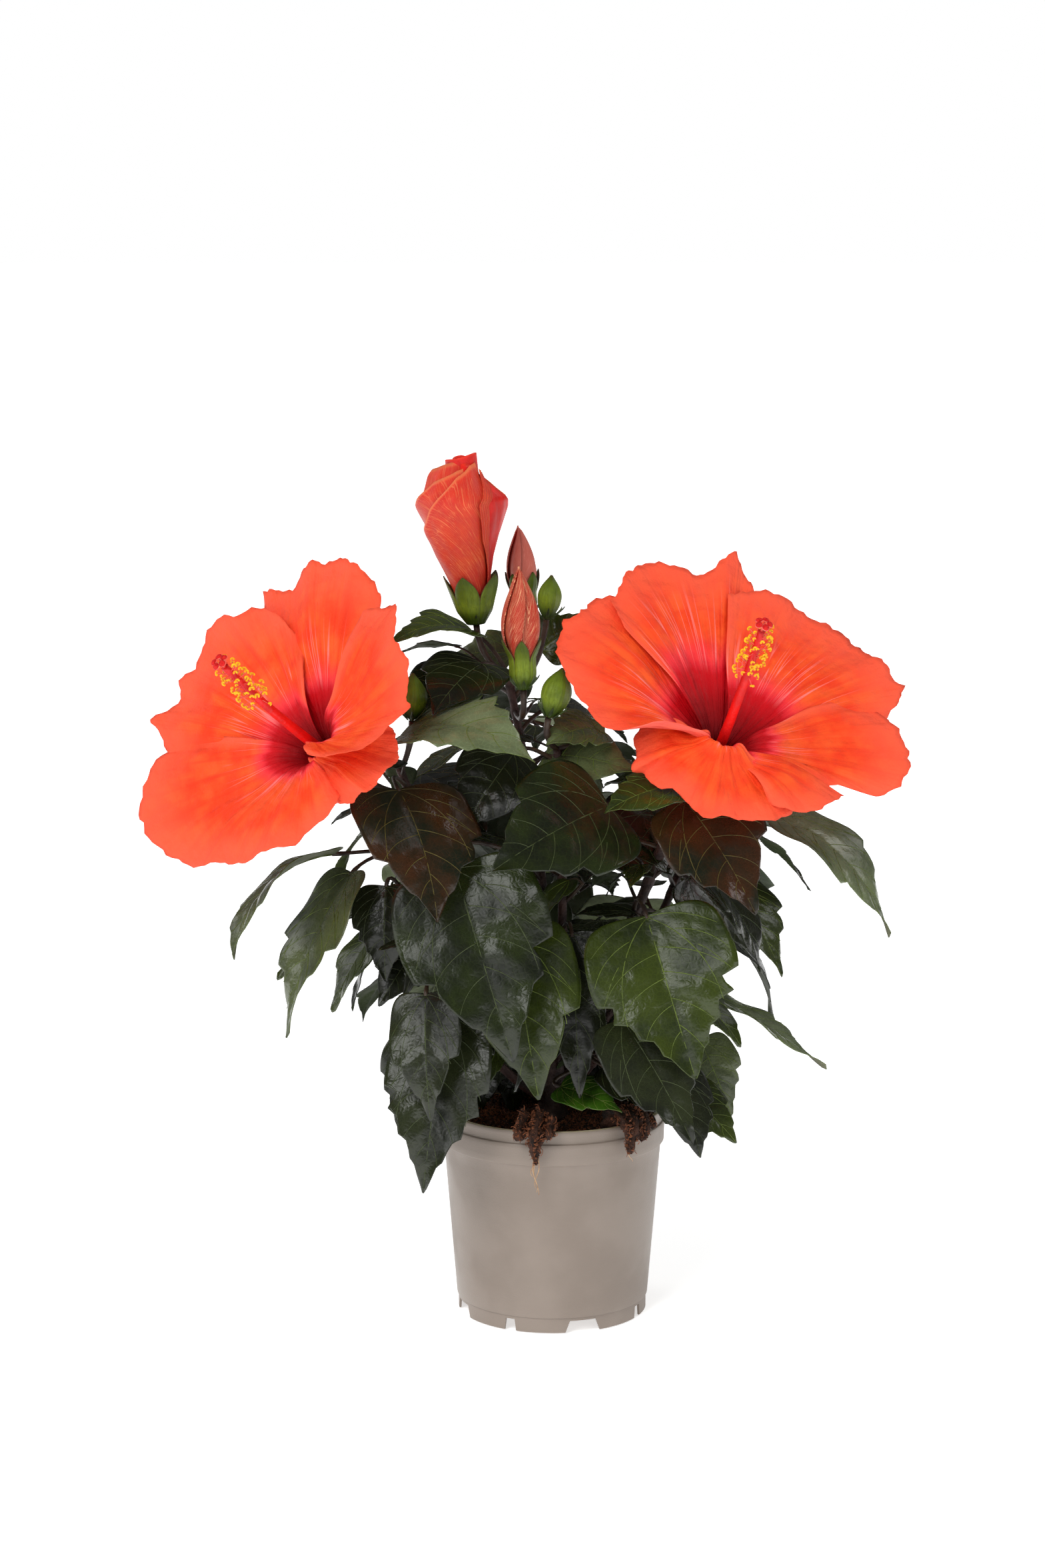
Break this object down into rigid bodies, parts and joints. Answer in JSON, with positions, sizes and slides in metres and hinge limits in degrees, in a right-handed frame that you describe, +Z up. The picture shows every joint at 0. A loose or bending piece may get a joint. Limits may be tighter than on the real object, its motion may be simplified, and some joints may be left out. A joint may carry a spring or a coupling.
{
  "type": "potted hibiscus shrub",
  "caption": "Small bushy hibiscus in a round plastic nursery pot, with broad toothed leaves, open coral blooms with long stamen columns, and buds.",
  "frame": {"origin": "centre of the flat pad under the pot, on the surface that the plant stands on", "axes": "+Z up along the stem, -Y towards the side that both blooms face, +X to the right as seen from there"},
  "size_m": [0.393, 0.2851, 0.4591],
  "materials": {
    "pot_plastic": "satin warm grey moulded plastic",
    "potting_soil": "rough dark peat with brown root fibres",
    "bark": "dull purple-brown young bark",
    "foliage": "glossy dark green leaves with paler veins",
    "petals": "soft coral petals with a deep red throat",
    "stamen_column": "smooth red column with yellow anthers",
    "calyx": "satin ribbed green sepals"
  },
  "bodies": {
    "root": {"pot": "pot_plastic", "root_ball": "potting_soil", "trunk": "bark", "bough_left": "bark", "bough_right": "bark", "bough_centre": "bark", "bough_front": "bark", "bough_low_left": "bark", "bough_low_right": "bark", "bough_back_left": "bark", "bough_back_right": "bark", "bough_low_back": "bark", "bough_back": "bark", "foliage_left": "foliage", "foliage_right": "foliage", "foliage_centre": "foliage", "foliage_front": "foliage", "foliage_low_left": "foliage", "foliage_low_right": "foliage", "foliage_back_left": "foliage", "foliage_back_right": "foliage", "foliage_low_back": "foliage", "foliage_back": "foliage", "petals_left": "petals", "column_left": "stamen_column", "calyx_left": "calyx", "petals_right": "petals", "column_right": "stamen_column", "calyx_right": "calyx", "bud_opening": "petals", "calyx_opening": "calyx", "bud_coral_front": "petals", "calyx_coral_front": "calyx", "bud_coral_back": "petals", "calyx_coral_back": "calyx", "bud_green_top": "calyx", "bud_green_left": "calyx", "bud_green_right": "calyx"}
  },
  "joints": []
}
